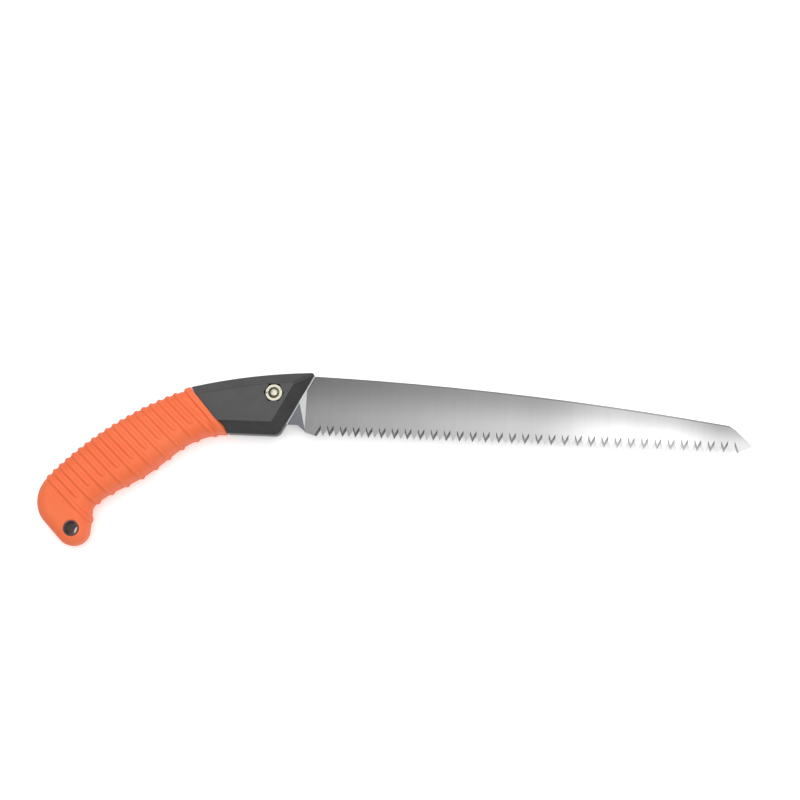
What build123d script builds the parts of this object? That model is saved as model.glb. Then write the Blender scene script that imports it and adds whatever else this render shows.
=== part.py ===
"""A pruning saw with a fixed handle: a replaceable straight blade clamped by one screw in a curved grip.

Millimetres. The saw is drawn with the clamp screw's axis at X = Y = 0 and the middle of the blade's
thickness at Z = 0. +X runs along the tooth line to the tip, +Y points to the blade's spine and +Z to the
side that shows the nut. At the end everything is moved so that the origin is the middle of the bottom of
the whole saw's box, lying on its side.
"""

import os
from math import floor, sqrt

from build123d import *

os.makedirs("parts", exist_ok=True)

# ---- Blade -----------------------------------------------------------------------------------------
blade_length = 270.5         # heel to tip, along the teeth
blade_thickness = 1.3        # at the teeth and through the tang
spine_thickness = 0.9        # at the spine, after the taper grind
heel_x = 20.2                # where the edge starts to drop to the teeth
heel_run = 5.6               # length of the slant from the blade's lower edge down to the heel
heel_drop = 4.6              # how far that slant drops
heel_round = 3.0             # rounding at both its ends
tooth_line_y = -24.4         # the line of the tooth points
tooth_height = 4.2
tooth_pitch = 3.98
tooth_back_run = 2.42        # length of a tooth's slanted side along the line; the other side is steeper
heel_flat = 6.6              # heel to first tooth point
nose_flat = 9.1              # last tooth point to tip
bevel_run = 2.7              # how far a tooth's ground bevel runs up past its gullet
edge_land = 0.1              # unground edge left along a bevel
ricasso_y = -17.9            # lower edge of the blade where it leaves the handle
spine_start = (25.5, 12.8)
spine_middle = (151.0, 6.1)
spine_end_back = 13.9        # how far behind the tip the spine ends
spine_end_y = -8.2
nose_back = 10.4             # the corner between spine and nose, behind the tip
nose_y = -10.4
tip_y = -20.3
grind_start_x = 19.3         # the taper grind's flat begins here, above the heel
grind_ramp = 8.5             # length at the spine of the ramp behind it, which ends in a point at the gullets

# ---- Tang, the part of the blade inside the handle ---------------------------------------------------
tang_shoulder = (12.0, 12.4)
tang_top_end = (-46.0, -3.0)
tang_tail = (-51.0, -17.0)
tang_heel_x = -20.0
tang_corner = 4.0            # corner radius at the tang's tail
slot_gap_side = 0.05         # between the blade's flat and the slot, each side
slot_gap_edge = 0.3          # between the tang's edge and the slot's wall
slot_front = 70.0            # the slot's cutter ends here, well ahead of the bolster

# ---- Bolster, the bare front of the core ------------------------------------------------------------
panel_z = 9.0                # half the thickness over the flat side panels
bolster_wall_z = 3.0         # half the height of the upright band round the bolster's edge
bolster_bevel = 7.0          # width of the slope between band and panel
bolster_top = ((-53.0, 2.7), (-16.0, 10.6), (22.2, 14.6))
bolster_bottom_y = -25.4
bolster_corner = 5.0         # lower front corner, in plan
panel_corner = 3.0           # the same corner of the panel
nose_corner = 1.2            # upper front corner, in plan
front_top = (23.0, 12.7)     # the front edge, where the blade comes out, runs through these two points
front_bottom = (7.9, -17.5)
collar_top = (-53.0, 3.1)    # the rubber's front end runs through these two points
collar_bottom = (-27.2, -25.7)
panel_middle = (-20.0, -7.0)  # a place on the flat panel, for its mount
panel_round = 0.6            # rounding of the panel's edge
band_round = 1.0             # rounding between slope and band

# ---- Grip, in its own plan frame: first number across the hand, second along the handle ---------------
rib_angle = 42.5             # the ribs' planes slope down by this much, from back to belly
back_radius = 226.0
back_centre = (164.6, -131.5)
grip_front = -26.0           # the grip's shape is drawn to here, and cut off at the collar
belly = ((-28.8, -134.5), (-29.2, -118.5), (-25.7, -105.6), (-21.8, -92.0), (-19.1, -72.0),
         (-17.6, -62.0), (-13.9, -51.6), (-5.6, -38.8), (4.0, grip_front))
pommel_centre = (-41.6, -134.3)
pommel_tip = (-26.9, -144.9)
pommel_tip_radius = 9.6
hole_centre = (-26.1, -144.1)
neck_round = 5.0             # hollow between the pommel's tip and the belly
pommel_half = 9.8            # half thickness of the handle near the pommel's end
pommel_at = -154.0
palm_half = 12.4             # in the palm
palm_at = -98.0
collar_half = 11.5           # at the collar
collar_at = -36.0
side_ends = (-158.0, -28.5)  # the side view is drawn between these; pommel and collar lie inside them
edge_round = 8.5             # rounding of the grip's long edges
sleeve_wall = 2.5            # thickness of the rubber
sleeve_gap = 0.2             # between the rubber's front end and the bolster's shoulder

# ---- Lanyard hole -----------------------------------------------------------------------------------
lanyard_radius = 3.9
boss_wall = 0.8
boss_radius = lanyard_radius + boss_wall    # the core's boss, which lines the hole
boss_recess = 0.8            # the boss ends this far below the rubber
boss_gap = 0.05              # between boss and rubber

# ---- Clamp screw, washers and nut (M6) ----------------------------------------------------------------
thread_radius = 3.0
thread_gap = 0.05            # running clearance of the screw in the nut
screw_hole_gap = 0.3         # round the screw, in the core
screw_hole_radius = thread_radius + screw_hole_gap
screw_length = 16.0          # under the head
screw_head_radius = 6.0
screw_head_height = 3.8
head_round = 2.0
recess_width = 1.5           # cross recess in the head
recess_span = 6.6
recess_depth = 2.4
screw_end_round = 0.8
seat_z = 3.2                 # depth left between the blade's middle and the washer's seat
washer_radius = 6.0
counterbore_gap = 0.9        # round the washer
counterbore_radius = washer_radius + counterbore_gap
washer_bore_gap = 0.2
washer_bore_radius = thread_radius + washer_bore_gap
washer_thickness = 1.6
spring_washer_radius = 5.9
spring_washer_bore_gap = 0.15
spring_washer_bore_radius = thread_radius + spring_washer_bore_gap
spring_washer_thickness = 1.6
spring_washer_slit = 1.0
nut_across_flats = 10.0
nut_height = 5.0
nut_seat_z = 3.4             # bottom of the nut's pocket
pocket_gap = 0.45            # between a flat of the nut and its pocket
nut_chamfer = 0.7
thread_chamfer = 0.5

# ---- Core screws, self-tapping, under the rubber ----------------------------------------------------
core_screw_places = ((-32.0, -52.0), (-40.5, -90.0), (-45.0, -126.0))
core_screw_radius = 1.75
core_screw_head_radius = 3.5
core_screw_head_height = 2.4
core_screw_seat_z = -6.2     # underside of the head
core_screw_length = 12.5
core_screw_gap = 0.3         # round the head and the clearance hole
core_screw_end_gap = 0.8     # spare depth of the pilot hole

# ---- Worked out from the sizes above ------------------------------------------------------------------
half_blade = blade_thickness / 2
tip_x = heel_x + blade_length
first_tooth_x = heel_x + heel_flat
tooth_count = floor((tip_x - nose_flat - first_tooth_x) / tooth_pitch) + 1
gullet_y = tooth_line_y + tooth_height
slot_half = half_blade + slot_gap_side
screw_seat = -seat_z - washer_thickness - spring_washer_thickness
grip_turn = Rot(0, 0, -rib_angle)
far = 400.0                  # larger than the saw, for cutting tools
near = 0.01                  # two heights this close are the same


def tooth_tip(index):
    """The point of one tooth, counted from the heel."""
    return (first_tooth_x + index * tooth_pitch, tooth_line_y)


def gullet(index):
    """The bottom of the notch after one tooth."""
    return (tooth_tip(index)[0] + tooth_back_run, gullet_y)


def nearest_vertices(shape, places):
    """The corner of a flat shape nearest to each place."""
    return [shape.vertices().sort_by_distance(Vector(*place))[0] for place in places]


def blade_outline():
    """The blade and its tang in plan, teeth included."""
    spine_end = (tip_x - spine_end_back, spine_end_y)
    teeth = []
    for index in range(tooth_count - 1):
        teeth += [tooth_tip(index), gullet(index)]
    teeth.append(tooth_tip(tooth_count - 1))
    ricasso_end = (heel_x - heel_run, ricasso_y)
    heel = (heel_x, ricasso_y - heel_drop)
    lower = [tang_tail, (tang_heel_x, ricasso_y), ricasso_end, heel, *teeth, (tip_x, tip_y)]
    upper = [(tip_x, tip_y), (tip_x - nose_back, nose_y), spine_end]
    spine = ThreePointArc(spine_end, spine_middle, spine_start)
    tang_top = Polyline(spine_start, tang_shoulder, tang_top_end, tang_tail)
    outline = make_face(Polyline(*lower) + Polyline(*upper) + spine + tang_top)
    outline = fillet(nearest_vertices(outline, [tang_top_end, tang_tail]), tang_corner)
    return fillet(nearest_vertices(outline, [ricasso_end, heel]), heel_round)


def bevel_cutter(index, towards_next):
    """The wedge that grinds one side of one gullet, from one face of the blade or the other."""
    side = 1 if (index + towards_next) % 2 == 0 else -1
    through = 1.1                # the wedge runs on a little past the far face
    reach = 1 + 2 * bevel_run / tooth_height
    run = tooth_pitch - tooth_back_run if towards_next else -tooth_back_run
    apex_x, apex_y = gullet(index)
    wedge = [(apex_x, apex_y), (apex_x + reach * run, apex_y - reach * tooth_height),
             (apex_x, apex_y - reach * tooth_height)]
    face = make_face(Polyline(*wedge, close=True))
    face = Pos(0, -edge_land, -side * half_blade) * face
    lean = Vector(0, bevel_run + edge_land, side * blade_thickness)
    return Solid.extrude(face.face(), lean * through)


def grind_cutter(side):
    """The wedge that thins the blade towards the spine, on one face, with a ramp at its rear."""
    slope = (blade_thickness - spine_thickness) / 2 / (spine_start[1] - gullet_y)
    high_y = spine_start[1] + blade_thickness
    high_z = half_blade - slope * (high_y - gullet_y)
    above = half_blade + blade_thickness
    section = Plane.YZ * Polyline((gullet_y, half_blade), (high_y, high_z), (high_y, above),
                                  (gullet_y, above), close=True)
    wedge = Pos(-grind_ramp, 0, 0) * extrude(make_face(section), far)
    along_edge = Vector(0, high_y - gullet_y, high_z - half_blade)
    up_ramp = Vector(-grind_ramp, high_y - gullet_y, 0)
    ramp = Plane(origin=(grind_start_x, gullet_y, half_blade), z_dir=along_edge.cross(up_ramp))
    wedge = split(wedge, bisect_by=ramp, keep=Keep.TOP)
    return wedge if side > 0 else mirror(wedge, about=Plane.XY)


def make_blade():
    """The blade: taper ground on both faces, with alternate teeth bevelled from opposite faces."""
    blade = extrude(blade_outline(), half_blade, both=True)
    blade -= [grind_cutter(1), grind_cutter(-1)]
    blade -= Cylinder(screw_hole_radius, far)
    cutters = [bevel_cutter(index, towards)
               for index in range(tooth_count - 1) for towards in (0, 1)]
    return blade - cutters


def belly_line(inset):
    """The lower line of the grip between its ribs, moved into the grip by the inset."""
    line = Spline(*belly)
    moved = []
    for place in belly:
        tangent = line.tangent_at(line.param_at_point(Vector(*place)))
        moved.append(Vector(*place) + Vector(-tangent.Y, tangent.X) * inset)
    return Spline(*moved)


def grip_face(inset):
    """The handle between its ribs, in plan, in the grip's own frame, smaller all round by the inset."""
    def back_point(along):
        drop = sqrt((back_radius - inset) ** 2 - (along - back_centre[1]) ** 2)
        return (back_centre[0] - drop, along)

    rear = back_point(pommel_centre[1])
    back = ThreePointArc(back_point(grip_front), back_point(palm_at), rear)
    line = belly_line(inset)
    start = line.position_at(0)
    edges = back + Polyline(rear, pommel_centre, start) + line
    edges += Line(line.position_at(1), back.position_at(0))
    reach = pommel_centre[0] - rear[0]
    half_plane = Rectangle(2 * reach, 4 * reach, align=(Align.MIN, Align.CENTER))
    round_end = Pos(*pommel_centre) * (Circle(reach) - half_plane)
    tip = Pos(*pommel_tip) * Rot(0, 0, 180) * Circle(pommel_tip_radius - inset)
    face = make_face(edges) + make_hull(round_end.edges() + tip.edges())
    return fillet(nearest_vertices(face, [start]), neck_round)


def grip_body(inset):
    """The whole handle as a rounded bar, smaller all round by the inset."""
    side_top = [(along, handle_half(along) - inset) for along in (side_ends[0], palm_at, side_ends[1])]
    side_low = [(along, -height) for along, height in side_top]
    side = ThreePointArc(*side_top) + Line(side_top[2], side_low[2])
    side += ThreePointArc(*side_low) + Line(side_low[0], side_top[0])
    profile = Plane.YZ * make_face(side)
    bar = extrude(grip_face(inset), palm_half * 2, both=True) & extrude(profile, far, both=True)
    ends = bar.edges().filter_by(lambda e: abs(e.center().Y - side_ends[1]) < near)
    rims = bar.edges().filter_by(lambda e: abs(e.center().Z) > pommel_half / 2) - ends
    bar = fillet(rims, edge_round - inset)
    return grip_turn * bar


def handle_half(along):
    """Half the handle's thickness at a place along it."""
    arc = ThreePointArc((pommel_at, pommel_half), (palm_at, palm_half), (collar_at, collar_half))
    return arc.arc_center.Y + sqrt(arc.radius**2 - (along - arc.arc_center.X) ** 2)


def on_grip(place, z=0.0):
    """A location given in the grip's own plan frame."""
    return grip_turn * Pos(place[0], place[1], z)


def collar_side(ahead, gap=0.0):
    """Everything ahead of the rubber's front end, or behind it, less a gap."""
    along = Vector(*collar_bottom) - Vector(*collar_top)
    forward = Vector(-along.Y, along.X).normalized()
    sign = 1 if ahead else -1
    seat = Plane(origin=collar_top, x_dir=forward * sign, z_dir=(0, 0, 1))
    return seat * Pos(far / 2 + gap, 0, 0) * Box(far, far, far)


def bolster_face(inset, corner):
    """The bolster in plan, smaller by the inset at its top, front and bottom."""
    slope = (front_top[0] - front_bottom[0]) / (front_top[1] - front_bottom[1])

    def front_x(y):
        return front_bottom[0] + slope * (y - front_bottom[1]) - inset * sqrt(1 + slope**2)

    arc = ThreePointArc(*bolster_top)
    low = bolster_bottom_y + inset
    high = bolster_top[2][1] + bolster_bevel
    rear = collar_top[0] - bolster_bevel
    block = make_face(Polyline((rear, low), (front_x(low), low), (front_x(high), high), (rear, high),
                               close=True))
    face = block & Pos(arc.arc_center) * Circle(arc.radius - inset)
    face = fillet(nearest_vertices(face, [(front_x(low), low)]), corner)
    return fillet(nearest_vertices(face, [front_top]), nose_corner)


def make_bolster():
    """The bare front of the core: flat panels, sloping borders and an upright band round the edge."""
    outer = bolster_face(0, bolster_corner)
    panel = bolster_face(bolster_bevel, panel_corner)
    slope = loft([Pos(0, 0, bolster_wall_z) * outer, Pos(0, 0, panel_z) * panel], ruled=True)
    half = extrude(outer, bolster_wall_z) + slope
    creases = half.edges().filter_by(lambda e: abs(e.center().Z - bolster_wall_z) < near)
    half = fillet(creases, band_round)
    rims = half.edges().filter_by(lambda e: abs(e.center().Z - panel_z) < near)
    half = fillet(rims, panel_round)
    return half + mirror(half, about=Plane.XY)


def tang_slot():
    """The space for the tang, open to the front."""
    front = (slot_front, ricasso_y)
    corners = [spine_start, tang_shoulder, tang_top_end, tang_tail, (tang_heel_x, ricasso_y), front,
               (front[0], spine_start[1])]
    return extrude(offset(make_face(Polyline(*corners, close=True)), amount=slot_gap_edge),
                   slot_half, both=True)


def hexagon(across_flats):
    """A hexagon with a corner on the X axis."""
    return RegularPolygon(across_flats / 2, 6, major_radius=False)


def bore(radius, low, high):
    """A round cutter or pin on the Z axis between two heights."""
    return Pos(0, 0, (low + high) / 2) * Cylinder(radius, high - low)


def make_core():
    """The whole nylon core, before it is parted into its two shells."""
    core = make_bolster() & collar_side(ahead=True)
    core += grip_body(sleeve_wall) & collar_side(ahead=False)
    boss_half = handle_half(hole_centre[1]) - boss_recess
    core += on_grip(hole_centre) * Cylinder(boss_radius, boss_half * 2)
    core -= [
        on_grip(hole_centre) * Cylinder(lanyard_radius, far),
        tang_slot(),
        Cylinder(screw_hole_radius, far),
        Pos(0, 0, nut_seat_z) * extrude(hexagon(nut_across_flats + 2 * pocket_gap), far),
        bore(counterbore_radius, -far, -seat_z),
    ]
    for place in core_screw_places:
        pilot_end = core_screw_seat_z + core_screw_length + core_screw_end_gap
        core -= on_grip(place) * bore(core_screw_radius + thread_gap, 0, pilot_end)
        core -= on_grip(place) * bore(core_screw_radius + core_screw_gap, -far, 0)
        core -= on_grip(place) * bore(core_screw_head_radius + core_screw_gap, -far, core_screw_seat_z)
    return core


def make_sleeve():
    """The rubber sleeve round the core, from the collar to the pommel."""
    sleeve = grip_body(0) - grip_body(sleeve_wall)
    sleeve = sleeve & collar_side(ahead=False, gap=sleeve_gap)
    return sleeve - on_grip(hole_centre) * Cylinder(boss_radius + boss_gap, far)


def make_core_screws():
    """The self-tapping screws that hold the two core shells together."""
    shank_end = core_screw_seat_z + core_screw_length
    screw = bore(core_screw_radius, core_screw_seat_z, shank_end)
    screw += bore(core_screw_head_radius, core_screw_seat_z - core_screw_head_height, core_screw_seat_z)
    slot = Pos(0, 0, core_screw_seat_z - core_screw_head_height)
    screw -= slot * Box(core_screw_head_radius, core_screw_radius / 2, core_screw_head_height)
    screw -= slot * Box(core_screw_radius / 2, core_screw_head_radius, core_screw_head_height)
    return [on_grip(place) * screw for place in core_screw_places]


def make_clamp_screw():
    """The M6 screw with its pan head and cross recess."""
    head_end = screw_seat - screw_head_height
    head = bore(screw_head_radius, head_end, screw_seat)
    head = fillet(head.edges().sort_by(Axis.Z)[0], head_round)
    shank = bore(thread_radius - thread_gap, screw_seat, screw_seat + screw_length)
    shank = fillet(shank.edges().sort_by(Axis.Z)[-1], screw_end_round)
    arm = Box(recess_span, recess_width, 2 * recess_depth)
    cross = arm + Rot(0, 0, 90) * arm
    return head + shank - Pos(0, 0, head_end) * cross


def make_flat_washer():
    """The plain washer on the core."""
    low = -seat_z - washer_thickness
    return bore(washer_radius, low, -seat_z) - bore(washer_bore_radius, low, -seat_z)


def make_spring_washer():
    """The split spring washer under the head, drawn flat as it lies when tight."""
    high = screw_seat + spring_washer_thickness
    ring = bore(spring_washer_radius, screw_seat, high)
    ring -= bore(spring_washer_bore_radius, screw_seat, high)
    slit = Box(spring_washer_radius, spring_washer_slit, far)
    return ring - Pos(spring_washer_radius, 0, 0) * slit


def make_clamp_nut():
    """The M6 nut held in its hexagonal pocket."""
    corner_radius = nut_across_flats / sqrt(3)
    blank = Cylinder(corner_radius, nut_height)
    blank = chamfer(blank.edges().filter_by(GeomType.CIRCLE), nut_chamfer)
    nut = extrude(hexagon(nut_across_flats), nut_height / 2, both=True) & blank
    thread = Cylinder(thread_radius, nut_height)
    mouth = Cone(thread_radius + thread_chamfer, thread_radius, thread_chamfer)
    nut -= [thread, Pos(0, 0, -(nut_height - thread_chamfer) / 2) * mouth,
            Pos(0, 0, (nut_height - thread_chamfer) / 2) * Rot(180, 0, 0) * mouth]
    return Pos(0, 0, nut_seat_z + nut_height / 2) * nut


core = make_core()
upper_half = Pos(0, 0, far / 2) * Box(far, far, far)
nodes = {
    "blade": make_blade(),
    "core_shell_nut_side": core & upper_half,
    "core_shell_screw_side": core - upper_half,
    "grip_sleeve": make_sleeve(),
    "core_screws": make_core_screws(),
    "clamp_screw": make_clamp_screw(),
    "spring_washer": make_spring_washer(),
    "flat_washer": make_flat_washer(),
    "clamp_nut": make_clamp_nut(),
}
solids = {name: Compound(children=ShapeList(shape if isinstance(shape, list) else [shape]).solids())
          for name, shape in nodes.items()}
box = Compound(children=[solid for node in solids.values() for solid in node.solids()]).bounding_box()
origin = Vector(box.center().X, box.center().Y, box.min.Z)
for name, solid in solids.items():
    export_step(Pos(-origin) * solid, f"parts/{name}.step")

hole = on_grip(hole_centre).position - origin
panel_place = Vector(*panel_middle) - origin
print("size", box.size)
print("clamp axis", -origin)
print("lanyard hole", hole, "length", 2 * (handle_half(hole_centre[1]) - boss_recess))
print("nut-side panel", panel_place + Vector(0, 0, panel_z))
print("screw-side panel", panel_place - Vector(0, 0, panel_z))
print("screw travel out of the nut", screw_seat + screw_length - nut_seat_z)
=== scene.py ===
# %% [markdown]
# # A pruning saw with a ribbed rubber grip
#
# The saw lies on its side, nut side up. Its designed pieces come in as a fixed frame: the blade, the two
# halves of the black core, the rubber sleeve, and the clamp screw with its washers and nut. This lesson
# gives them their looks. Where a designed piece is only a plain stand-in, such as the smooth sleeve or the
# screw without its thread, a finer piece takes its place.
#
# Everything is in metres, in the frame's own axes: +X runs along the teeth to the tip, +Y to the blade's
# spine, +Z up out of the nut's side.

# %% Load the frame
from math import cos, pi, radians, sin, sqrt

import bmesh
import bpy
from mathutils import Matrix, Vector
from mathutils.bvhtree import BVHTree


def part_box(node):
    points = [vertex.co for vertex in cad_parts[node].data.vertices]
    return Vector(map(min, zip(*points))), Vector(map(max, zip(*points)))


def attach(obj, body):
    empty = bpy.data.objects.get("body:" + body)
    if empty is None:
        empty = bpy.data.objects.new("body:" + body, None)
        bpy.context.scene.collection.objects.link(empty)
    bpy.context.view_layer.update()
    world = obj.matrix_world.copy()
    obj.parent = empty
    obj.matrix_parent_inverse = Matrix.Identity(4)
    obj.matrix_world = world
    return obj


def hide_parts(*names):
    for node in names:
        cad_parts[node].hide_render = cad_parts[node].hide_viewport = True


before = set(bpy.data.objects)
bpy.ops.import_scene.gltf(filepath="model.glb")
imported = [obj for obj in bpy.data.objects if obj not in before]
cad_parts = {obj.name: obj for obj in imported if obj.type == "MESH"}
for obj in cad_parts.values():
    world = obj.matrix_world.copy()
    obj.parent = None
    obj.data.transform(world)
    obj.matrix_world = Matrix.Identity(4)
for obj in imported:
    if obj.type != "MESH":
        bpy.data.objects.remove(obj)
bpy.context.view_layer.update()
MM = 0.001
nut_low, nut_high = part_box("clamp_nut")
blade_low, blade_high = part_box("blade")
clamp_axis = (nut_low + nut_high) / 2
blade_z = (blade_low.z + blade_high.z) / 2
clamp_axis.z = blade_z
print("clamp axis", clamp_axis, "blade from", blade_low, "to", blade_high)

# %% [markdown]
# ## Maths on sockets
#
# A node tree for a formula such as `1 - mask * 0.3` needs a Math node for each sign. Made by hand that is a
# long list of links. A small class that wraps a socket and overloads Python's operators lets the formula be
# written as it is read. The same class serves materials and Geometry Nodes, because both know the Math node.


# %% A graph of nodes, and a value in it
class Value:
    """One output socket, so that arithmetic on it reads like ordinary Python."""

    def __init__(self, graph, socket):
        self.graph = graph
        self.socket = socket

    def __add__(self, other):
        return self.graph.math("ADD", self, other)

    def __sub__(self, other):
        return self.graph.math("SUBTRACT", self, other)

    def __rsub__(self, other):
        return self.graph.math("SUBTRACT", other, self)

    def __mul__(self, other):
        return self.graph.math("MULTIPLY", self, other)

    def __truediv__(self, other):
        return self.graph.math("DIVIDE", self, other)

    def __pow__(self, other):
        return self.graph.math("POWER", self, other)

    def __abs__(self):
        return self.graph.math("ABSOLUTE", self)

    __radd__ = __add__
    __rmul__ = __mul__


class Graph:
    """A node tree with one method that adds any node, and a few shorthands built on it."""

    def __init__(self, tree):
        self.tree = tree

    def add(self, kind, settings=None, inputs=None):
        """A new node: its settings first, then a value or a link for each socket."""
        node = self.tree.nodes.new(kind)
        for name, value in (settings or {}).items():
            setattr(node, name, value)
        for name, value in (inputs or {}).items():
            self.feed(node.inputs[name], value)
        return node

    def feed(self, socket, value):
        """Links a Value to a socket, or sets the socket to a plain number, vector or colour."""
        if isinstance(value, Value):
            self.tree.links.new(value.socket, socket)
        elif value is not None:
            socket.default_value = value

    def out(self, node, name=0):
        """One of a node's outputs as a Value."""
        return Value(self, node.outputs[name])

    def math(self, operation, *values):
        """A Math node on up to three values."""
        node = self.add("ShaderNodeMath", {"operation": operation}, dict(enumerate(values)))
        return self.out(node)

    def smooth(self, value, low, high):
        """0 below low, 1 above high, and a soft step between. Low may be the larger."""
        node = self.add("ShaderNodeMapRange", {"interpolation_type": "SMOOTHSTEP"},
                        {"Value": value, "From Min": low, "From Max": high})
        return self.out(node)

    def smallest(self, *values):
        """The smallest of several values."""
        least = values[0]
        for value in values[1:]:
            least = self.math("MINIMUM", least, value)
        return least

    def largest(self, *values):
        """The largest of several values."""
        most = values[0]
        for value in values[1:]:
            most = self.math("MAXIMUM", most, value)
        return most


print("graph helpers ready")

# %% [markdown]
# ## Where the camera stands
#
# The saw lies flat and is seen almost from above, from a little in front of the teeth. The lens is a
# fairly long one. The camera's turn is built from its three axes, not from a tracking constraint, so that
# its roll is exact: the picture's upright is turned slightly from +Y.

# %% Camera
CAMERA_DISTANCE = 0.780
CAMERA_TILT = radians(12.96)
CAMERA_SIDE = radians(-74.92)
PICTURE_UP = radians(92.87)
LENS_MM = 57.06
look_at = clamp_axis + Vector((77.0, 0.2, 0.0)) * MM


def place_camera():
    """The camera above the saw, looking down at a point on the blade."""
    out = Vector((sin(CAMERA_TILT) * cos(CAMERA_SIDE), sin(CAMERA_TILT) * sin(CAMERA_SIDE),
                  cos(CAMERA_TILT)))
    right = Vector((cos(PICTURE_UP), sin(PICTURE_UP), 0)).cross(out).normalized()
    up = out.cross(right)
    data = bpy.data.cameras.new("camera")
    data.sensor_width = 36.0
    data.lens = LENS_MM
    camera = bpy.data.objects.new("camera", data)
    turn = Matrix((right, up, out)).transposed().to_4x4()
    camera.matrix_world = Matrix.Translation(look_at + out * CAMERA_DISTANCE) @ turn
    bpy.context.scene.collection.objects.link(camera)
    bpy.context.scene.camera = camera
    return camera


camera = place_camera()
print("camera at", camera.matrix_world.translation)

# %% [markdown]
# ## Table and light
#
# The table is a white sheet that glows a little, as an opal sheet lit from below does, so that shadows on it
# are faint. Most of the light comes from a broad soft box overhead. The sides of the ribs then carry a dark
# line, and the bolster's slopes are darker than its flat panel. A weak lamp in front puts a light line on
# edges that face it. Plain tone mapping keeps the orange as strong as it is.
#
# The ribs stand below the designed box, so the table lies a little lower and they rest on it.

# %% Floor, world and lamps
FLOOR_DROP = 1 * MM
FLOOR_HALF = 3.0
FLOOR_GLOW = 0.3
WORLD_STRENGTH = 0.38


def flat_material(name, colour, roughness, glow):
    """A plain material for things that aren't part of the saw. It can glow a little."""
    material = bpy.data.materials.new(name)
    material.use_nodes = True
    shader = material.node_tree.nodes["Principled BSDF"]
    shader.inputs["Base Color"].default_value = (*colour, 1)
    shader.inputs["Roughness"].default_value = roughness
    shader.inputs["Emission Color"].default_value = (1, 1, 1, 1)
    shader.inputs["Emission Strength"].default_value = glow
    return material


def make_floor():
    """A large pale plane that the saw lies on."""
    mesh = bpy.data.meshes.new("floor")
    corners = ((-1, -1), (1, -1), (1, 1), (-1, 1))
    mesh.from_pydata([(x * FLOOR_HALF, y * FLOOR_HALF, -FLOOR_DROP) for x, y in corners], [], [(0, 1, 2, 3)])
    mesh.materials.append(flat_material("white_table", (0.93, 0.93, 0.935), 0.8, FLOOR_GLOW))
    floor = bpy.data.objects.new("floor", mesh)
    bpy.context.scene.collection.objects.link(floor)


def make_lamp(name, place, size, power):
    """A square lamp that faces the blade's middle."""
    data = bpy.data.lights.new(name, "AREA")
    data.size = size
    data.energy = power
    lamp = bpy.data.objects.new(name, data)
    away = Vector(place) - look_at
    lamp.rotation_euler = away.to_track_quat("Z", "Y").to_euler()
    lamp.location = place
    bpy.context.scene.collection.objects.link(lamp)


def make_world():
    """Weak, even light from every side, and plain tone mapping."""
    world = bpy.data.worlds.new("room")
    world.use_nodes = True
    background = world.node_tree.nodes["Background"]
    background.inputs["Color"].default_value = (1.0, 1.0, 1.0, 1)
    background.inputs["Strength"].default_value = WORLD_STRENGTH
    bpy.context.scene.world = world
    bpy.context.scene.view_settings.view_transform = "Standard"


make_floor()
make_world()
make_lamp("soft_box", (0.05, 0.22, 1.2), 1.5, 15.5)
make_lamp("edge_lamp", (0.42, -0.22, 1.1), 0.25, 1.6)
print("table, world and lamps ready")

# %% [markdown]
# ## Orange rubber
#
# Soft thermoplastic rubber has no gloss to speak of, a very fine grain from the mould, and a slight
# cloudiness where it has been touched. The colour shifts a little between warm orange and a paler
# bloom. The hollows beside the ribs get painted shade: a deeper orange that stands in for the shade in the
# crease at each rib's foot. A pointiness mask would find the hollows, but it depends on the mesh, so the rib
# height that Geometry Nodes stored on the mesh is used instead.


# %% Helpers for materials
def new_material(name):
    """An empty principled material, its graph and its shader."""
    material = bpy.data.materials.new(name)
    material.use_nodes = True
    graph = Graph(material.node_tree)
    return material, graph, material.node_tree.nodes["Principled BSDF"]


def place_on(graph):
    """The point on the saw, in its own frame."""
    return graph.out(graph.add("ShaderNodeTexCoord"), "Object")


def noise(graph, point, per_metre, detail=3.0, roughness=0.5):
    """Soft noise from 0 to 1 with so many features to the metre."""
    node = graph.add("ShaderNodeTexNoise", inputs={
        "Vector": point, "Scale": per_metre, "Detail": detail, "Roughness": roughness})
    return graph.out(node, "Fac")


def stretched(graph, point, turn, scale):
    """The point turned about Z and stretched, for grain that runs one way."""
    node = graph.add("ShaderNodeMapping", inputs={
        "Vector": point, "Rotation": (0, 0, turn), "Scale": scale})
    return graph.out(node)


# The Mix node's colour sockets share their names with its number sockets, so they are picked by place.
FIRST_COLOUR, SECOND_COLOUR, MIXED_COLOUR = 6, 7, 2


def blend_colours(graph, factor, first, second):
    """A colour between two colours."""
    node = graph.add("ShaderNodeMix", {"data_type": "RGBA", "clamp_factor": True})
    graph.feed(node.inputs["Factor"], factor)
    graph.feed(node.inputs[FIRST_COLOUR], first if isinstance(first, Value) else (*first, 1))
    graph.feed(node.inputs[SECOND_COLOUR], second if isinstance(second, Value) else (*second, 1))
    return graph.out(node, MIXED_COLOUR)


def bump(graph, height, distance, strength=1.0):
    """A normal from a height from 0 to 1 that stands for so many metres."""
    node = graph.add("ShaderNodeBump", inputs={
        "Height": height, "Distance": distance, "Strength": strength})
    return graph.out(node)


# %% Rubber
RUBBER = (0.83, 0.150, 0.047)
# A deeper orange, painted shade for the creases at the ribs' feet.
RUBBER_PAINTED_SHADE = (0.66, 0.085, 0.020)
RUBBER_BLOOM = (0.86, 0.21, 0.085)


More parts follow.
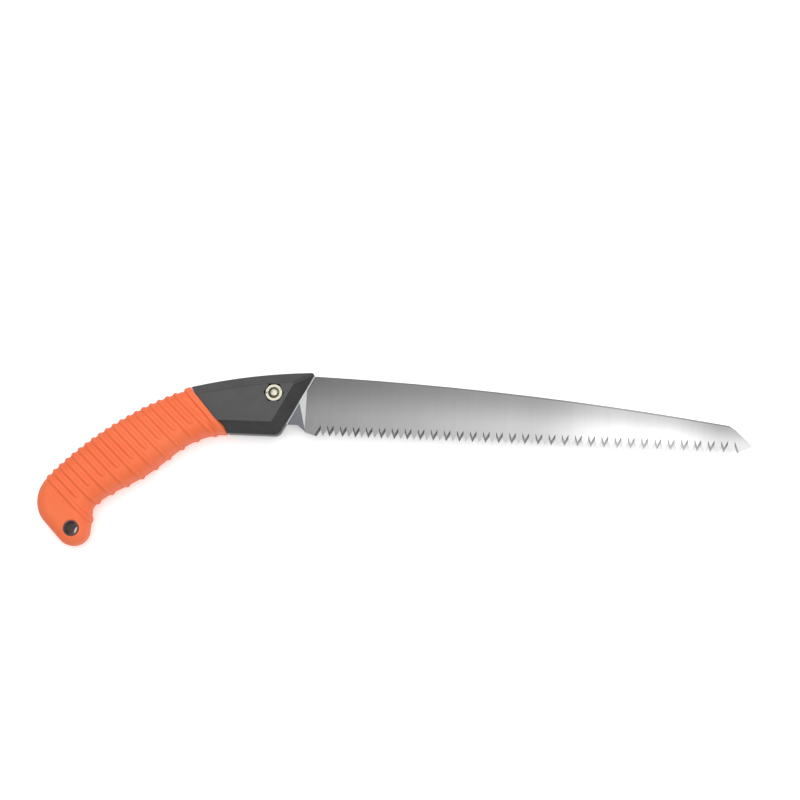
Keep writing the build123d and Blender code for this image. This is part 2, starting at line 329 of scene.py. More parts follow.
def orange_rubber():
    """Matt orange rubber, clouded in places, with painted shade in the creases beside the ribs."""
    material, graph, shader = new_material("orange_rubber")
    point = place_on(graph)
    cloud = noise(graph, point, 55.0, 4.0)
    grain = noise(graph, point, 2600.0, 2.0)
    rib = graph.out(graph.add("ShaderNodeAttribute", {"attribute_name": "rib_height"}), "Fac")
    colour = blend_colours(graph, graph.smooth(cloud, 0.35, 0.75) * 0.35, RUBBER, RUBBER_BLOOM)
    # Painted shade: the feet of each rib and of the lip are darkened where the crease's shade falls.
    painted_crease_shade = graph.smooth(rib, 0.0, 0.05) * graph.smooth(rib, 0.45, 0.1)
    colour = blend_colours(graph, painted_crease_shade * 0.35, colour, RUBBER_PAINTED_SHADE)
    graph.feed(shader.inputs["Base Color"], colour)
    graph.feed(shader.inputs["Roughness"], 0.52 + 0.16 * cloud + 0.08 * grain)
    shader.inputs["Specular IOR Level"].default_value = 0.4
    graph.feed(shader.inputs["Normal"], bump(graph, grain, 0.00006, 0.7))
    return material


# %% [markdown]
# ## Black nylon
#
# The core is moulded in glass-filled nylon. Its mould was spark eroded, so it has a fine even sparkle of
# grain and little gloss, and it is charcoal rather than black. Fine noise gives the grain, in the colour and
# as a bump.


# %% Nylon
def black_nylon():
    """Charcoal nylon with a spark-eroded grain."""
    material, graph, shader = new_material("black_nylon")
    point = place_on(graph)
    grain = noise(graph, point, 3200.0, 3.0, 0.6)
    cloud = noise(graph, point, 90.0, 3.0)
    colour = blend_colours(graph, graph.smooth(cloud, 0.3, 0.8), (0.025, 0.025, 0.026), (0.035, 0.035, 0.036))
    colour = blend_colours(graph, graph.smooth(grain, 0.58, 0.72) * 0.35, colour, (0.12, 0.12, 0.12))
    graph.feed(shader.inputs["Base Color"], colour)
    graph.feed(shader.inputs["Roughness"], 0.36 + 0.16 * grain)
    shader.inputs["Specular IOR Level"].default_value = 0.5
    graph.feed(shader.inputs["Normal"], bump(graph, grain, 0.00005, 0.6))
    return material


# %% [markdown]
# ## Ground steel
#
# The blade is ground across its width, which leaves fine lines from tooth to spine, and then plated, which
# makes it pale and half matt. Behind the grind the steel is as it was rolled: duller and darker. A few
# scratches and specks lie on top. A thin dark line of painted shade runs along the spine, where its edge
# turns away from the light.
#
# All of this is placed by formulas on the point's own coordinates: the spine is a shallow curve, so its
# height is a quadratic in the distance along the blade. The ground face grows paler from the heel to the tip
# and from the spine to the teeth, with a bright band short of the tip and a slight dip after it. This is
# painted reflection: it stands in for the overhead light mirrored in the steel, so it stays put when the view
# or the lamps move.

# %% Blade finish
TOOTH_LINE = blade_low.y
GULLET_RISE = 4.2 * MM
SPINE_REAR = 12.8 * MM + clamp_axis.y
SPINE_FALL = 0.0273
SPINE_CURVE = 0.23
SPINE_FROM = clamp_axis.x + 25.5 * MM
GRIND_START = clamp_axis.x + 19.3 * MM
RAMP_LEAN = 8.5 / 33.0
BLADE_LENGTH = blade_high.x - GRIND_START
BOLSTER_FRONT = ((23.0 * MM, 12.7 * MM), (7.9 * MM, -17.5 * MM))


def blade_steel():
    """Plated, cross-ground steel with a duller unground patch at the handle, under painted reflection and
    highlights.
    """
    material, graph, shader = new_material("blade_steel")
    point = place_on(graph)
    parts = graph.add("ShaderNodeSeparateXYZ", inputs={0: point})
    x, y = graph.out(parts, "X"), graph.out(parts, "Y")
    across = stretched(graph, point, radians(4.0), (1.0, 0.035, 1.0))
    lines = noise(graph, across, 5200.0, 3.0, 0.65)
    bands = noise(graph, across, 420.0, 3.0, 0.5)
    cloud = noise(graph, point, 38.0, 4.0)
    speck = noise(graph, point, 700.0, 2.0)
    scratch = noise(graph, stretched(graph, point, radians(-58.0), (0.05, 1.0, 1.0)), 900.0, 1.0)
    along = x - SPINE_FROM
    spine = SPINE_REAR - SPINE_FALL * along - SPINE_CURVE * along * along
    ramp_edge = GRIND_START - RAMP_LEAN * (y - (TOOTH_LINE + GULLET_RISE))
    ground = graph.smooth(x - GRIND_START, -0.0001, 0.0001)
    rolled = graph.smooth(x - ramp_edge, 0.0001, -0.0001)
    ramp = 1 - graph.largest(ground, rolled)
    to_tip = (x - GRIND_START) / BLADE_LENGTH
    to_teeth = (spine - y) / (spine - TOOTH_LINE)
    # Painted reflection: paler from heel to tip and from spine to teeth, with a painted highlight band short
    # of the tip, for the overhead light mirrored in the steel.
    glow = graph.smooth(to_tip, 0.52, 0.72) * graph.smooth(to_tip, 0.93, 0.80)
    shade = (0.17 + 0.35 * to_tip + 0.19 * glow - 0.04 * graph.smooth(to_tip, 0.85, 0.95)) * (
        0.56 + 0.44 * graph.smooth(to_teeth, 0.0, 0.75))
    tone = shade * (0.90 + 0.10 * bands + 0.10 * cloud) + 0.05 * (lines - 0.5)
    pale = blend_colours(graph, tone, (0.0, 0.0, 0.0), (1.0, 1.0, 1.0))
    pale = blend_colours(graph, rolled, pale, (0.14, 0.145, 0.162))
    # Painted highlight: the real grind ramp between the rolled patch and the ground face is painted pale, for
    # the light its slope catches.
    pale = blend_colours(graph, ramp * 0.85, pale, (0.38, 0.395, 0.39))
    # Painted shade: a thin dark line along the spine's edge.
    painted_spine_shade = graph.smooth(spine - y, 0.0009, 0.0002)
    pale = blend_colours(graph, painted_spine_shade * 0.55, pale, (0.07, 0.07, 0.08))
    (ax, ay), (bx, by) = BOLSTER_FRONT
    lean = (ax - bx) / (ay - by)
    in_front = x - (clamp_axis.x + bx) - (y - (clamp_axis.y + by)) * lean
    # Painted highlight: a thin pale line on the steel along the bolster's front edge.
    painted_edge_highlight = graph.smooth(in_front, 0.0009, 0.0005) * graph.smooth(in_front, -0.0002, 0.0001)
    pale = blend_colours(graph, painted_edge_highlight * 0.8, pale, (0.75, 0.77, 0.78))
    marks = graph.largest(graph.smooth(speck, 0.73, 0.78), graph.smooth(scratch, 0.76, 0.80))
    pale = blend_colours(graph, marks * 0.4, pale, (0.25, 0.25, 0.26))
    graph.feed(shader.inputs["Base Color"], pale)
    shader.inputs["Metallic"].default_value = 0.85
    graph.feed(shader.inputs["Roughness"], 0.36 + 0.12 * cloud + 0.10 * lines + 0.12 * rolled)
    height = lines * 0.7 + bands * 0.3
    graph.feed(shader.inputs["Normal"], bump(graph, height, 0.00003, 0.5))
    return material


# %% [markdown]
# ## Nickel and zinc
#
# The nut and screw are worn nickel, slightly warm, with dull patches of dirt. The washers and the hidden core
# screws are zinc. One function makes both, because only the colours and the roughness differ.


# %% Fasteners' finishes
def plated(name, colour, dark, roughness):
    """Metal plate with fine wear and dull patches of dirt."""
    material, graph, shader = new_material(name)
    point = place_on(graph)
    cloud = noise(graph, point, 420.0, 4.0)
    fine = noise(graph, point, 3000.0, 2.0)
    dirt = graph.smooth(cloud, 0.60, 0.74)
    graph.feed(shader.inputs["Base Color"], blend_colours(graph, dirt * 0.6, colour, dark))
    shader.inputs["Metallic"].default_value = 1.0
    graph.feed(shader.inputs["Roughness"], roughness + 0.15 * cloud + 0.25 * dirt)
    graph.feed(shader.inputs["Normal"], bump(graph, fine, 0.00002, 0.4))
    return material


rubber = orange_rubber()
nylon = black_nylon()
steel = blade_steel()
nickel = plated("nickel_plate", (0.36, 0.34, 0.275), (0.12, 0.105, 0.07), 0.26)
zinc = plated("zinc_plate", (0.60, 0.61, 0.62), (0.25, 0.25, 0.25), 0.34)
print("materials:", [m.name for m in (rubber, nylon, steel, nickel, zinc)])


def finish_node(name, material):
    """Gives a designed piece its material in place of the plain one it came with."""
    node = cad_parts[name]
    node.data.materials.clear()
    node.data.materials.append(material)
    print(name, "is now", material.name)


for name, material in (("blade", steel), ("core_shell_nut_side", nylon), ("core_shell_screw_side", nylon),
                       ("core_screws", zinc), ("clamp_screw", nickel), ("clamp_nut", nickel),
                       ("spring_washer", zinc), ("flat_washer", zinc)):
    finish_node(name, material)

# %% [markdown]
# ## The grip's skin
#
# The designed sleeve is smooth. The real one has nineteen round ribs, all in parallel planes, and a raised
# lip at the collar, all moulded in one piece with it. The finer sleeve starts as rings: planes parallel to
# the ribs cut the designed sleeve, and rays shot at it in each plane give the ring's points. Rings that
# follow the ribs let each rib stand on its own rows of faces, so its edge is crisp.
#
# The pommel's end and the collar aren't parallel to the ribs. There the planes fan out, from the last
# parallel one to the slanted end.

# %% The grip's own frame, and rays at the sleeve
RIB_ANGLE = radians(42.5)
ACROSS = Vector((cos(RIB_ANGLE), -sin(RIB_ANGLE), 0))
ALONG = Vector((sin(RIB_ANGLE), cos(RIB_ANGLE), 0))
UP = Vector((0, 0, 1))
FAR = 0.2
MIDDLE = -36 * MM
RUBBER_WALL = 2.4 * MM
EDGE_ROUND = 8.5 * MM
COLLAR_GAP = 0.35 * MM
sleeve_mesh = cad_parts["grip_sleeve"].data
sleeve_tree = BVHTree.FromPolygons([v.co for v in sleeve_mesh.vertices],
                                   [p.vertices for p in sleeve_mesh.polygons])


def on_saw(across, along, up=0.0):
    """A point of the grip's own plan frame in the saw's frame."""
    return clamp_axis + ACROSS * across + ALONG * along + UP * up


def in_grip(point):
    """How far across and how far along the grip a point is."""
    away = point - clamp_axis
    return away.dot(ACROSS), away.dot(ALONG)


def hit(origin, direction):
    """Where a ray meets the designed sleeve, or None."""
    return sleeve_tree.ray_cast(origin, direction)[0]


def collar_line(across):
    """Where the rubber's front end is, a little behind the designed one, at a place across the grip."""
    return -33.5 * MM - COLLAR_GAP - 0.0974 * (across + 41.2 * MM)


def pommel_line(across):
    """Where the pommel's flat end is."""
    return -153.43 * MM - 0.0398 * (across + 45.6 * MM)


print("sleeve:", len(sleeve_mesh.polygons), "designed faces")

# %% Which planes cut the grip
RIB_PITCH = 4.97 * MM
FIRST_RIB = -133.3 * MM
RIB_COUNT = 19
RIB_HEIGHT = 0.9 * MM
RIB_HALF_WIDTH = 1.45 * MM
BEAD_FULLNESS = 0.62
LIP_HEIGHT = 1.25 * MM
LIP_LENGTH = 4.1 * MM
ROWS_PER_RIB = 14
COLLAR_FAN = -41.8 * MM
POMMEL_FAN = -136.0 * MM
COLLAR_ROWS = 22
COLLAR_CROWDING = 1.4
POMMEL_ROWS = 26
POMMEL_STOP = 0.96


def ring_planes():
    """Each plane as (along at across 0, lean), from the collar to the pommel."""
    planes = []

    def fan(start, line, share):
        lean = (line(MM) - line(0)) / MM
        planes.append((start + share * (line(0) - start), lean * share))

    for row in range(COLLAR_ROWS):
        fan(COLLAR_FAN, collar_line, 1 - (row / COLLAR_ROWS) ** COLLAR_CROWDING)
    step = RIB_PITCH / ROWS_PER_RIB
    first = int((POMMEL_FAN - FIRST_RIB) / step)
    last = int((COLLAR_FAN - FIRST_RIB) / step)
    planes += [(FIRST_RIB + row * step, 0.0) for row in range(last, first, -1)]
    rounded = EDGE_ROUND / (POMMEL_FAN - pommel_line(MIDDLE))
    for row in range(POMMEL_ROWS + 1):
        angle = pi / 2 * (1 - row / POMMEL_ROWS * POMMEL_STOP)
        share = 1 - rounded * (1 - cos(angle)) - (1 - row / POMMEL_ROWS) * (1 - rounded)
        fan(POMMEL_FAN, pommel_line, share)
    return planes


planes = ring_planes()
print(len(planes), "rings, from", planes[0][0] / MM, "to", planes[-1][0] / MM, "mm")

# %% [markdown]
# Each ring is first laid out as a rounded rectangle of the section's own width and height, with its points
# evenly spaced. Each point is then pushed onto the designed sleeve by a ray along the rectangle's normal.
# A ray that falls into the lanyard hole takes its place from its neighbours, because the hole is cut later.

# %% Points of one ring
RING_POINTS = 152
HOLE_AT = (-26.1 * MM, -144.1 * MM)
HOLE_RADIUS = 4.75 * MM
STRAY = 3 * MM


def rounded_rectangle(half_width, half_height, corner, share):
    """A point and the outward normal at a share of the way round, from the belly over the top."""
    flat_side = half_height - corner
    flat_top = half_width - corner
    arc = corner * pi / 2
    quarter = flat_side + arc + flat_top
    run = share * 4 * quarter
    lap, run = divmod(run, quarter)
    if lap in (1, 3):
        run = quarter - run
    if run <= flat_side:
        x, y, turn = half_width, run, 0.0
    elif run <= flat_side + arc:
        turn = (run - flat_side) / corner
        x, y = flat_top + corner * cos(turn), flat_side + corner * sin(turn)
    else:
        x, y, turn = flat_top - (run - flat_side - arc), half_height, pi / 2
    side_x = 1 if lap in (0, 3) else -1
    side_y = 1 if lap in (0, 1) else -1
    return x * side_x, y * side_y, cos(turn) * side_x, sin(turn) * side_y


def hole_distance(point):
    """How far a point is from the lanyard hole's axis."""
    across, along = in_grip(point)
    return sqrt((across - HOLE_AT[0]) ** 2 + (along - HOLE_AT[1]) ** 2)


def mend_gaps(points):
    """Fills each missing point on a straight line between its neighbours."""
    count = len(points)
    known = [index for index, point in enumerate(points) if point is not None]
    for index in range(count):
        if points[index] is None:
            before = max((k for k in known if k < index), default=known[-1] - count)
            after = min((k for k in known if k > index), default=known[0] + count)
            share = (index - before) / (after - before)
            points[index] = points[before % count].lerp(points[after % count], share)
    return points


def ring(along, lean):
    """One ring of points on the sleeve's outer skin."""
    run = (ACROSS + ALONG * lean).normalized()
    start = on_saw(MIDDLE, along + lean * MIDDLE)
    back = hit(start - run * FAR, run)
    belly = hit(start + run * FAR, -run)
    middle = (back + belly) / 2
    half_width = (belly - back).length / 2
    half_height = hit(middle + UP * FAR, -UP).z - middle.z
    corner = min(EDGE_ROUND, half_width, half_height) * 0.999
    points = []
    for index in range(RING_POINTS):
        x, y, nx, ny = rounded_rectangle(half_width, half_height, corner, index / RING_POINTS)
        outward = run * nx + UP * ny
        point = hit(middle + run * x + UP * y + outward * FAR / 4, -outward)
        if point is not None and (hole_distance(point) < HOLE_RADIUS + 0.1 * MM
                                  or (point - middle - run * x - UP * y).length > STRAY):
            point = None
        points.append(point)
    return mend_gaps(points)


rings = [ring(*plane) for plane in planes]
print(sum(len(r) for r in rings), "points on the outer skin")

# %% [markdown]
# The skin is closed like a sock: the outer skin runs from the collar to the pommel, where a cap ends it. A
# coarser inner skin lies one rubber wall inside it. The two join in the sleeve's narrow front face. Five
# numbers are stored at each point for the ribs: how far along the grip it is, how far it is past the short
# ribs' reach, what share of the way from back to belly, how far behind the collar, and whether it is on the
# outer skin.

# %% The smooth sleeve as a closed mesh
INNER_STEP = 9
SHORT_REACH = 0.71


def ring_faces(first, second, flip):
    """Quads between two rings that start at these vertex numbers."""
    faces = []
    for index in range(RING_POINTS):
        after = (index + 1) % RING_POINTS
        face = (first + index, first + after, second + after, second + index)
        faces.append(face[::-1] if flip else face)
    return faces


def skin_mesh(name, rows, flip):
    """A mesh of quads between rings of points, with a cap on the last ring."""
    faces = []
    for row in range(len(rows) - 1):
        faces += ring_faces(row * RING_POINTS, (row + 1) * RING_POINTS, flip)
    cap = tuple(range((len(rows) - 1) * RING_POINTS, len(rows) * RING_POINTS))
    faces.append(cap[::-1] if flip else cap)
    mesh = bpy.data.meshes.new(name)
    mesh.from_pydata([point for row in rows for point in row], [], faces)
    return mesh


def sock():
    """Outer and inner skin joined at the collar."""
    outer = skin_mesh("outer_skin", rings, False)
    normals = [v.normal.copy() for v in outer.vertices]
    if normals[0].dot(ACROSS) < 0:
        normals = [-n for n in normals]
    picked = list(range(0, len(rings) - 1, INNER_STEP)) + [len(rings) - 1]
    inner_rows = [[rings[row][i] - normals[row * RING_POINTS + i] * RUBBER_WALL
                   for i in range(RING_POINTS)] for row in picked]
    inner = skin_mesh("inner_skin", inner_rows, True)
    base = len(outer.vertices)
    points = [v.co.copy() for v in outer.vertices] + [v.co.copy() for v in inner.vertices]
    faces = [tuple(p.vertices) for p in outer.polygons]
    faces += [tuple(v + base for v in p.vertices) for p in inner.polygons]
    faces += ring_faces(0, base, True)
    mesh = bpy.data.meshes.new("grip_sleeve_skin")
    mesh.from_pydata(points, [], faces)
    edit = bmesh.new()
    edit.from_mesh(mesh)
    bmesh.ops.recalc_face_normals(edit, faces=edit.faces)
    open_edges = sum(1 for edge in edit.edges if not edge.is_manifold)
    edit.to_mesh(mesh)
    edit.free()
    print("sock:", len(mesh.polygons), "faces,", open_edges, "open edges")
    return mesh, base


def store(mesh, name, values):
    """One number for each vertex, for Geometry Nodes to read."""
    layer = mesh.attributes.new(name, "FLOAT", "POINT")
    layer.data.foreach_set("value", values)


def store_places(mesh, outer_count):
    """The five numbers that place the ribs and the lip."""
    along, over, side, behind, outer = [], [], [], [], []
    for row in range(outer_count // RING_POINTS):
        across_row = [in_grip(p)[0] for p in rings[row]]
        back, belly = min(across_row), max(across_row)
        for index in range(RING_POINTS):
            place = in_grip(rings[row][index])
            along.append(place[1])
            over.append((place[0] - back) - SHORT_REACH * (belly - back))
            side.append((place[0] - back) / (belly - back))
            behind.append(collar_line(place[0]) - place[1])
            outer.append(1.0)
    spare = [0.0] * (len(mesh.vertices) - outer_count)
    store(mesh, "along", along + spare)
    store(mesh, "past_reach", over + spare)
    store(mesh, "to_belly", side + spare)
    store(mesh, "behind_collar", behind + spare)
    store(mesh, "outer", outer + spare)


sleeve_skin, outer_count = sock()
store_places(sleeve_skin, outer_count)

# %% [markdown]
# ## Ribs and lip by Geometry Nodes
#
# One tree raises every rib. The nearest rib is found by rounding the distance along the grip to a whole
# number of pitches. The distance from that rib's middle line gives the bead's height. Every second rib is
# short: it stops before the belly with a round end, so for those ribs the distance is measured to a line
# that ends. The lip at the collar is raised the same way, from the distance behind the collar. It has a crisp
# step at the back and dies out in a soft flare at the belly.


# %% The rib tree
def new_tree(name, inputs):
    """An empty Geometry Nodes tree with a mesh in and out and named number inputs."""
    tree = bpy.data.node_groups.new(name, "GeometryNodeTree")
    tree.interface.new_socket("Geometry", in_out="INPUT", socket_type="NodeSocketGeometry")
    for label, kind, value in inputs:
        socket = tree.interface.new_socket(label, in_out="INPUT", socket_type=kind)
        if value is not None:
            socket.default_value = value
    tree.interface.new_socket("Geometry", in_out="OUTPUT", socket_type="NodeSocketGeometry")
    graph = Graph(tree)
    start = graph.add("NodeGroupInput")
    end = graph.add("NodeGroupOutput")
    return graph, start, end


def number_at(graph, name):
    """A stored number at each point."""
    node = graph.add("GeometryNodeInputNamedAttribute", {"data_type": "FLOAT"}, {"Name": name})
    return graph.out(node, "Attribute")


def finish_tree(graph, start, end, geometry):
    """Ends a tree in Realize Instances and Set Material."""
    real = graph.add("GeometryNodeRealizeInstances", inputs={"Geometry": geometry})
    done = graph.add("GeometryNodeSetMaterial", inputs={
        "Geometry": graph.out(real), "Material": graph.out(start, "Material")})
    graph.feed(end.inputs["Geometry"], graph.out(done))


def rib_tree():
    """Beads round the grip at an even pitch, every second one short, and a lip at the collar."""
    number = "NodeSocketFloat"
    graph, start, end = new_tree("grip_ribs", [
        ("Pitch", number, None), ("First", number, None), ("Last Index", number, None),
        ("Height", number, None), ("Half Width", number, None), ("Lip Height", number, None),
        ("Lip Length", number, None), ("Material", "NodeSocketMaterial", None)])
    pitch, half = graph.out(start, "Pitch"), graph.out(start, "Half Width")
    along = number_at(graph, "along")
    steps = (along - graph.out(start, "First")) / pitch
    index = graph.math("ROUND", steps)
    index = graph.smallest(graph.largest(index, 0.0), graph.out(start, "Last Index"))
    short = graph.math("MODULO", index, 2.0)
    aside = (steps - index) * pitch
    past = graph.largest(number_at(graph, "past_reach"), 0.0) * short
    away = graph.math("SQRT", aside * aside + past * past) / half
    bead = graph.largest(1 - away * away, 0.0) ** BEAD_FULLNESS * graph.out(start, "Height")
    behind, belly = number_at(graph, "behind_collar"), number_at(graph, "to_belly")
    length = graph.out(start, "Lip Length") * (1 - belly * 0.32)
    lip_height = graph.out(start, "Lip Height") * (1 - belly * 0.22)
    edge = graph.largest(1 - behind / (lip_height * 0.8), 0.0)
    front_round = graph.math("SQRT", graph.largest(1 - edge * edge, 0.0))
    crisp = graph.smooth(behind, length * 1.10, length * 0.96)
    flare = graph.smooth(behind, length * 2.1, 0.0)
    step = graph.smooth(belly, 0.94, 0.72)
    lip = lip_height * (crisp * step + flare * (1 - step)) * front_round
    groove = graph.smooth(abs(behind - length * 1.22), length * 0.15, 0.0) * lip_height * 0.25 * step
    height = (graph.largest(bead, lip) - groove) * number_at(graph, "outer")
    stored = graph.add("GeometryNodeStoreNamedAttribute", {"data_type": "FLOAT", "domain": "POINT"}, {
        "Geometry": graph.out(start, "Geometry"), "Name": "rib_height",
        "Value": graph.largest(bead, lip) / graph.out(start, "Height")})
    normal = graph.out(graph.add("GeometryNodeInputNormal"))
    shift = graph.add("ShaderNodeVectorMath", {"operation": "SCALE"},
                      {"Vector": normal, "Scale": height})
    moved = graph.add("GeometryNodeSetPosition", inputs={
        "Geometry": graph.out(stored), "Offset": graph.out(shift)})
    finish_tree(graph, start, end, graph.out(moved))
    return graph.tree


def run_tree(mesh, tree, name, values):
    """Runs a tree on a mesh and gives back the plain mesh that comes out."""
    carrier = bpy.data.objects.new(name, mesh)
    bpy.context.scene.collection.objects.link(carrier)
    modifier = carrier.modifiers.new("nodes", "NODES")
    modifier.node_group = tree
    for item in tree.interface.items_tree:
        if item.in_out == "INPUT" and item.name in values:
            modifier[item.identifier] = values[item.name]
    bpy.context.view_layer.update()
    shown = carrier.evaluated_get(bpy.context.evaluated_depsgraph_get())
    result = bpy.data.meshes.new_from_object(shown)
    bpy.data.objects.remove(carrier)
    result.name = name
    print(name, "has", len(result.polygons), "faces")
    return result


ribbed = run_tree(sleeve_skin, rib_tree(), "grip_sleeve_ribbed", {
    "Pitch": RIB_PITCH, "First": FIRST_RIB, "Last Index": RIB_COUNT - 1.0, "Height": RIB_HEIGHT,
    "Half Width": RIB_HALF_WIDTH, "Lip Height": LIP_HEIGHT, "Lip Length": LIP_LENGTH, "Material": rubber})

# %% [markdown]
# ## The lanyard hole
#
# The hole through the rubber is cut last, by a round cutter that flares where it leaves each face. Its
# flare is the soft rounding of the moulding's edge. The black lining inside it is the core's own boss.


# %% Cut the hole and finish the sleeve
def lathe(name, profile, segments, centre):
    """A closed solid turned about the Z axis through a centre, from (radius, height) pairs, low to high."""
    points, faces = [], []
    for radius, height in profile:
        for index in range(segments):
            angle = 2 * pi * index / segments
            points.append((centre.x + radius * cos(angle), centre.y + radius * sin(angle), height))
    for row in range(len(profile) - 1):
        for index in range(segments):
            after = (index + 1) % segments
            low, high = row * segments, (row + 1) * segments
            faces.append((low + index, low + after, high + after, high + index))
    faces.append(tuple(range(segments))[::-1])
    faces.append(tuple(range((len(profile) - 1) * segments, len(profile) * segments)))
    mesh = bpy.data.meshes.new(name)
    mesh.from_pydata(points, [], faces)
    return mesh


def link(name, mesh):
    """An object at the origin that carries a mesh."""
    made = bpy.data.objects.new(name, mesh)
    bpy.context.scene.collection.objects.link(made)
    return made


def cut(target, cutter):
    """Takes one closed solid from another, for good."""
    modifier = target.modifiers.new("cut", "BOOLEAN")
    modifier.object = cutter
    modifier.operation = "DIFFERENCE"
    modifier.solver = "EXACT"
    bpy.context.view_layer.update()
    shown = target.evaluated_get(bpy.context.evaluated_depsgraph_get())
    mesh = bpy.data.meshes.new_from_object(shown)
    target.modifiers.clear()
    target.data = mesh
    bpy.data.objects.remove(cutter)
    return target


def smooth_by_angle(obj, degrees):
    """Smooth faces, with the edges sharper than an angle kept sharp."""
    obj.data.shade_smooth()
    obj.data.set_sharp_from_angle(angle=radians(degrees))


def finish_piece(obj, node, body):
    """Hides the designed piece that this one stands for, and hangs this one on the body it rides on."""
    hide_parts(node)
    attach(obj, body)
    print(obj.name, "replaces", node, "on", body, "with", len(obj.data.polygons), "faces")


FLARE = 0.9 * MM
hole_axis = on_saw(*HOLE_AT)
face_up = hit(hole_axis + ACROSS * -7 * MM + UP * FAR, -UP).z
face_down = 2 * blade_z - face_up
flare_steps = [(HOLE_RADIUS + FLARE * (1 - cos(radians(a))), -FLARE * (1 - sin(radians(a))) + 0.02 * MM)
               for a in (0, 18, 36, 54, 72, 90)]
hole_profile = [(r, face_down - z) for r, z in flare_steps[::-1]] + [(r, face_up + z) for r, z in flare_steps]
hole_profile = [(hole_profile[0][0], face_down - 4 * MM)] + hole_profile + [
    (hole_profile[-1][0], face_up + 4 * MM)]
sleeve = link("grip_sleeve_skin", ribbed)
cut(sleeve, link("hole_cutter", lathe("hole_cutter", hole_profile, 64, hole_axis)))
smooth_by_angle(sleeve, 50)
finish_piece(sleeve, "grip_sleeve", "handle")

# %% [markdown]
# ## The clamp screw with its thread
#
# The designed screw is a plain pin, so that it turns freely in the plain nut. The real one has an M6 thread,
# which shows where its end stands out of the nut. The screw is turned on a lathe here as a profile of radius
# and height, from the pan head to the domed end. Geometry Nodes then wind the thread's ridge round the
# shank: a spiral of one millimetre's rise a turn, with a small pointed section swept along it. The cross
# recess in the head is cut one arm at a time, because a cutter that crosses itself can take the whole screw.

# %% The screw
SCREW_SEGMENTS = 48
CORE_RADIUS = 2.42 * MM
CREST_RADIUS = 2.93 * MM
HEAD_RADIUS = 6.0 * MM
HEAD_HEIGHT = 3.8 * MM
PLAIN_SHANK = 6.4 * MM
DOME_HEIGHT = 0.55 * MM
THREAD_MIDDLE = 2.5 * MM
THREAD_DEPTH = 0.42 * MM
THREAD_PITCH = 1 * MM
RECESS_ARM = (6.4 * MM, 1.5 * MM, 4.6 * MM, 1)
screw_low, screw_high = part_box("clamp_screw")
axis = Vector((clamp_axis.x, clamp_axis.y, 0))


def screw_blank():
    """Pan head, plain neck and threaded core, with a domed end."""
    low, high = screw_low.z, screw_high.z
    seat = low + HEAD_HEIGHT
    profile = [(HEAD_RADIUS * share, low + (1 - sqrt(max(0.0, 1 - share**4))) * 2.2 * MM)
               for share in (0.3, 0.5, 0.65, 0.8, 0.9, 0.96, 0.99)]
    profile += [(HEAD_RADIUS, low + 2.3 * MM), (HEAD_RADIUS, seat - 0.1 * MM),
                (HEAD_RADIUS - 0.1 * MM, seat), (CREST_RADIUS, seat), (CREST_RADIUS, seat + PLAIN_SHANK),
                (CORE_RADIUS, seat + PLAIN_SHANK + 0.4 * MM), (CORE_RADIUS, high - 1.0 * MM)]
    profile += [(CORE_RADIUS * sin(radians(a)), high - DOME_HEIGHT * (1 - cos(radians(a))))
                for a in (90, 75, 60, 45, 30, 15, 4)]
    return lathe("screw_blank", profile, SCREW_SEGMENTS, axis)


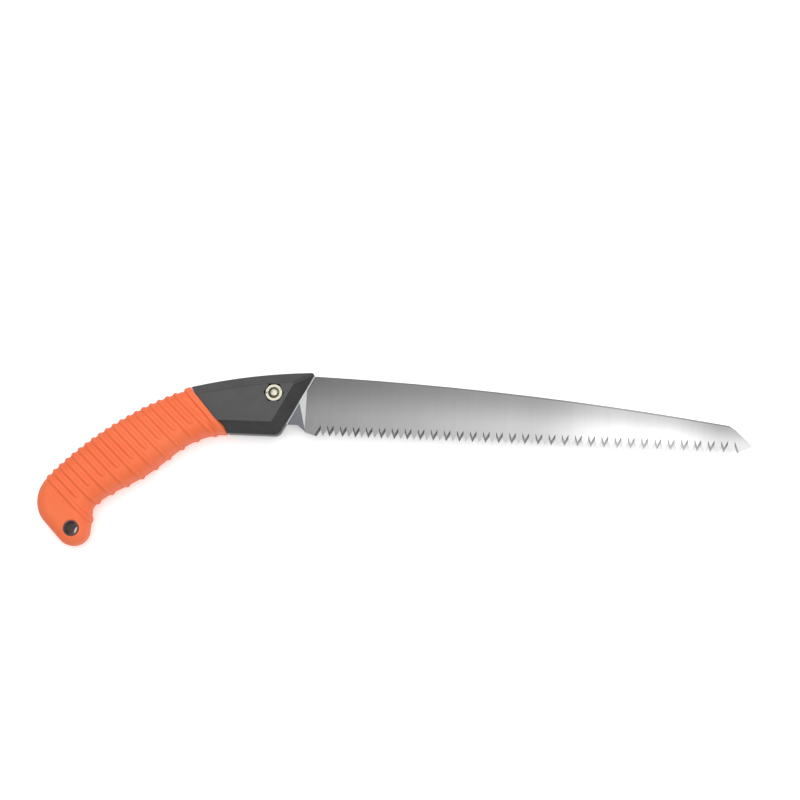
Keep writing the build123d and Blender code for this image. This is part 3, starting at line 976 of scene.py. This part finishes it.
def thread_tree():
    """A helical ridge joined to the shank that comes in."""
    number = "NodeSocketFloat"
    graph, start, end = new_tree("screw_thread", [
        ("Turns", number, None), ("Pitch", number, None), ("Radius", number, None),
        ("Depth", number, None), ("Place", "NodeSocketVector", None),
        ("Material", "NodeSocketMaterial", None)])
    turns, pitch = graph.out(start, "Turns"), graph.out(start, "Pitch")
    radius, depth = graph.out(start, "Radius"), graph.out(start, "Depth")
    spiral = graph.add("GeometryNodeCurveSpiral", inputs={
        "Resolution": 32, "Rotations": turns, "Start Radius": radius, "End Radius": radius,
        "Height": turns * pitch})
    upright = graph.add("GeometryNodeSetCurveNormal", {"mode": "Z_UP"}, {"Curve": graph.out(spiral)})
    section = graph.add("GeometryNodeCurvePrimitiveCircle", inputs={"Resolution": 4, "Radius": depth})
    ridge = graph.add("GeometryNodeCurveToMesh", inputs={
        "Curve": graph.out(upright), "Profile Curve": graph.out(section), "Fill Caps": True})
    placed = graph.add("GeometryNodeTransform", inputs={
        "Geometry": graph.out(ridge), "Translation": graph.out(start, "Place")})
    both = graph.add("GeometryNodeJoinGeometry")
    graph.feed(both.inputs[0], graph.out(placed))
    graph.feed(both.inputs[0], graph.out(start, "Geometry"))
    finish_tree(graph, start, end, graph.out(both))
    return graph.tree


def recess_cutter(turn):
    """One tapered arm of the driver's cross, in the head."""
    edit = bmesh.new()
    made = bmesh.ops.create_cube(edit, size=1.0, matrix=Matrix.Translation(
        (axis.x, axis.y, screw_low.z)) @ Matrix.Rotation(radians(turn), 4, "Z")
        @ Matrix.Diagonal(RECESS_ARM))
    for vertex in made["verts"]:
        if vertex.co.z > screw_low.z:
            vertex.co = axis + (vertex.co - axis) * 0.5 + UP * vertex.co.z * 0.5
    bmesh.ops.recalc_face_normals(edit, faces=edit.faces)
    mesh = bpy.data.meshes.new("recess")
    edit.to_mesh(mesh)
    edit.free()
    return link("recess", mesh)


thread_length = screw_high.z - screw_low.z - HEAD_HEIGHT - PLAIN_SHANK - 0.9 * MM
blank = link("blank", screw_blank())
for turn in (0, 90):
    cut(blank, recess_cutter(turn))
print("screw before its thread:", len(blank.data.polygons), "faces")
threaded = run_tree(blank.data, thread_tree(), "clamp_screw_threaded", {
    "Turns": thread_length / THREAD_PITCH, "Pitch": THREAD_PITCH, "Radius": THREAD_MIDDLE,
    "Depth": THREAD_DEPTH,
    "Place": (axis.x, axis.y, screw_low.z + HEAD_HEIGHT + PLAIN_SHANK), "Material": nickel})
bpy.data.objects.remove(blank)
screw = link("clamp_screw_threaded", threaded)
smooth_by_angle(screw, 35)
finish_piece(screw, "clamp_screw", "screw")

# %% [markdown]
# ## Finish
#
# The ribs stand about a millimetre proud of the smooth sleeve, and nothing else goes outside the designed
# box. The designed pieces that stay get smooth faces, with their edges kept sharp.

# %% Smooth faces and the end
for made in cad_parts.values():
    made.data.shade_smooth()
    made.data.set_sharp_from_angle(angle=radians(24))
